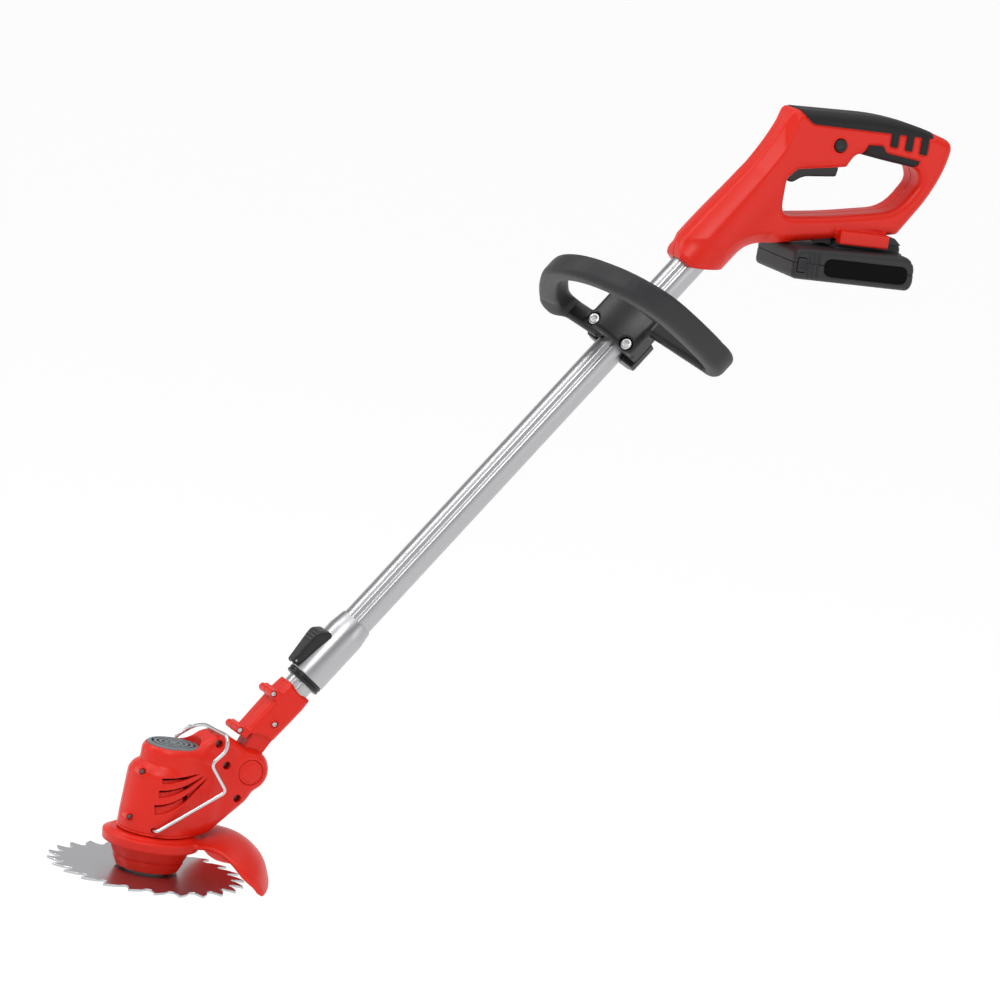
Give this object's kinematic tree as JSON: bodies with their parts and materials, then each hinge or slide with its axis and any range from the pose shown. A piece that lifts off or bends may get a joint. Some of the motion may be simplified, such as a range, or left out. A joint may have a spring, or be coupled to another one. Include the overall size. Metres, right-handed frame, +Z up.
{
  "type": "brush cutter",
  "caption": "Cordless telescopic brush cutter: saw-blade head that tilts, wire guard, debris guard, adjustable pole, loop handle and rear trigger handle with a slide-on battery.",
  "frame": {"origin": "middle of the rear handle's grip bar, where the right hand holds the machine", "axes": "+Z up with the blade level, +X from the blade back towards the operator, Y = 0 is the plane the housings are split on; -Y is the side of the release buttons that can be seen"},
  "size_m": [0.6334, 0.1926, 0.6442],
  "materials": {
    "red_shell": "satin moulded plastic",
    "black_plastic": "satin moulded plastic",
    "grey_plastic": "fine textured plastic",
    "soft_grip": "matt soft overmould",
    "bright_steel": "satin",
    "pole_tube": "polished, drawn lengthwise",
    "motor_steel": "zinc plated",
    "winding": "lacquered copper and laminations",
    "cell_sleeve": "shrink sleeve",
    "label": "gloss"
  },
  "bodies": {
    "handle": {"rear_housing_left": "red_shell", "rear_housing_right": "red_shell", "grip_overmould": "soft_grip", "palm_overmould": "soft_grip", "handle_screw_1": "bright_steel", "handle_screw_2": "bright_steel", "handle_screw_3": "bright_steel", "handle_screw_4": "bright_steel", "trigger_switch": "black_plastic", "terminal_block": "black_plastic", "outer_tube": "pole_tube", "tube_sleeve": "pole_tube", "tube_collar": "black_plastic", "lock_lever_pin": "bright_steel"},
    "trigger": {"trigger": "black_plastic"},
    "lock_off": {"lock_off_button": "black_plastic"},
    "battery": {"battery_case_upper": "grey_plastic", "battery_case_lower": "grey_plastic", "battery_label": "label", "cell_pack": "cell_sleeve"},
    "latch_left": {"latch_button_left": "black_plastic"},
    "latch_right": {"latch_button_right": "black_plastic"},
    "tube_lock": {"lock_lever": "black_plastic"},
    "loop": {"loop_handle": "grey_plastic", "loop_clamp_cap": "grey_plastic", "loop_bolt_1": "bright_steel", "loop_bolt_2": "bright_steel", "loop_nut_1": "bright_steel", "loop_nut_2": "bright_steel"},
    "lower_pole": {"inner_tube": "pole_tube", "tube_bush": "black_plastic", "stem_left": "red_shell", "stem_right": "red_shell", "stem_screw_1": "bright_steel", "stem_screw_2": "bright_steel", "stem_screw_3": "bright_steel"},
    "head": {"motor_housing_left": "red_shell", "motor_housing_right": "red_shell", "top_vent": "grey_plastic", "motor_can": "motor_steel", "motor_end_bell": "black_plastic", "debris_guard": "red_shell", "spindle_shroud": "red_shell", "spindle_bearing": "bright_steel", "pivot_pin": "bright_steel", "housing_screw_1": "bright_steel", "housing_screw_2": "bright_steel", "housing_screw_3": "bright_steel", "housing_screw_4": "bright_steel", "housing_screw_5": "bright_steel"},
    "tilt_button": {"tilt_button": "red_shell"},
    "wire_guard": {"guard_wire": "bright_steel"},
    "spindle": {"spindle_shaft": "bright_steel", "rotor": "winding", "upper_flange": "bright_steel", "blade": "bright_steel", "lower_flange": "bright_steel", "blade_nut": "bright_steel"}
  },
  "joints": [
    {"name": "trigger_pull", "type": "hinge", "parent": "handle", "child": "trigger", "pos_m": [-0.024, 0, -0.019], "axis": [0, 1, 0], "range_deg": [0, 7], "stiffness_Nm_per_rad": 0.4, "springref_deg": -8.59},
    {"name": "lock_off_press", "type": "slide", "parent": "handle", "child": "lock_off", "axis": [0, 1, 0], "range_m": [0, 0.004], "stiffness_N_per_m": 300, "springref_m": -0.002},
    {"name": "battery_slide", "type": "slide", "parent": "handle", "child": "battery", "axis": [1, 0, 0], "range_m": [0, 0.1]},
    {"name": "latch_left_press", "type": "slide", "parent": "battery", "child": "latch_left", "axis": [0, 1, 0], "range_m": [0, 0.0012], "stiffness_N_per_m": 300, "springref_m": -0.001},
    {"name": "latch_right_press", "type": "slide", "parent": "battery", "child": "latch_right", "axis": [0, -1, 0], "range_m": [0, 0.0012], "stiffness_N_per_m": 300, "springref_m": -0.001},
    {"name": "tube_lock_open", "type": "hinge", "parent": "handle", "child": "tube_lock", "pos_m": [-0.39859, 0, -0.4385], "axis": [0, -1, 0], "range_deg": [0, 20], "stiffness_Nm_per_rad": 0.3, "springref_deg": -11.46},
    {"name": "loop_slide", "type": "slide", "parent": "handle", "child": "loop", "axis": [-0.5976, 0, -0.8018], "range_m": [0, 0.2]},
    {"name": "telescope", "type": "slide", "parent": "handle", "child": "lower_pole", "axis": [-0.5976, 0, -0.8018], "range_m": [0, 0.25]},
    {"name": "head_tilt", "type": "hinge", "parent": "lower_pole", "child": "head", "pos_m": [-0.4257, 0, -0.5243], "axis": [0, 1, 0], "range_deg": [-45, 0]},
    {"name": "tilt_release", "type": "slide", "parent": "head", "child": "tilt_button", "axis": [0, 1, 0], "range_m": [0, 0.003], "stiffness_N_per_m": 300, "springref_m": -0.002},
    {"name": "wire_guard_fold", "type": "hinge", "parent": "head", "child": "wire_guard", "pos_m": [-0.499, 0, -0.5715], "axis": [0, -1, 0], "range_deg": [0, 140]},
    {"name": "blade_spin", "type": "hinge", "parent": "head", "child": "spindle", "pos_m": [-0.49, 0, -0.608], "axis": [0, 0, 1], "continuous": true}
  ]
}
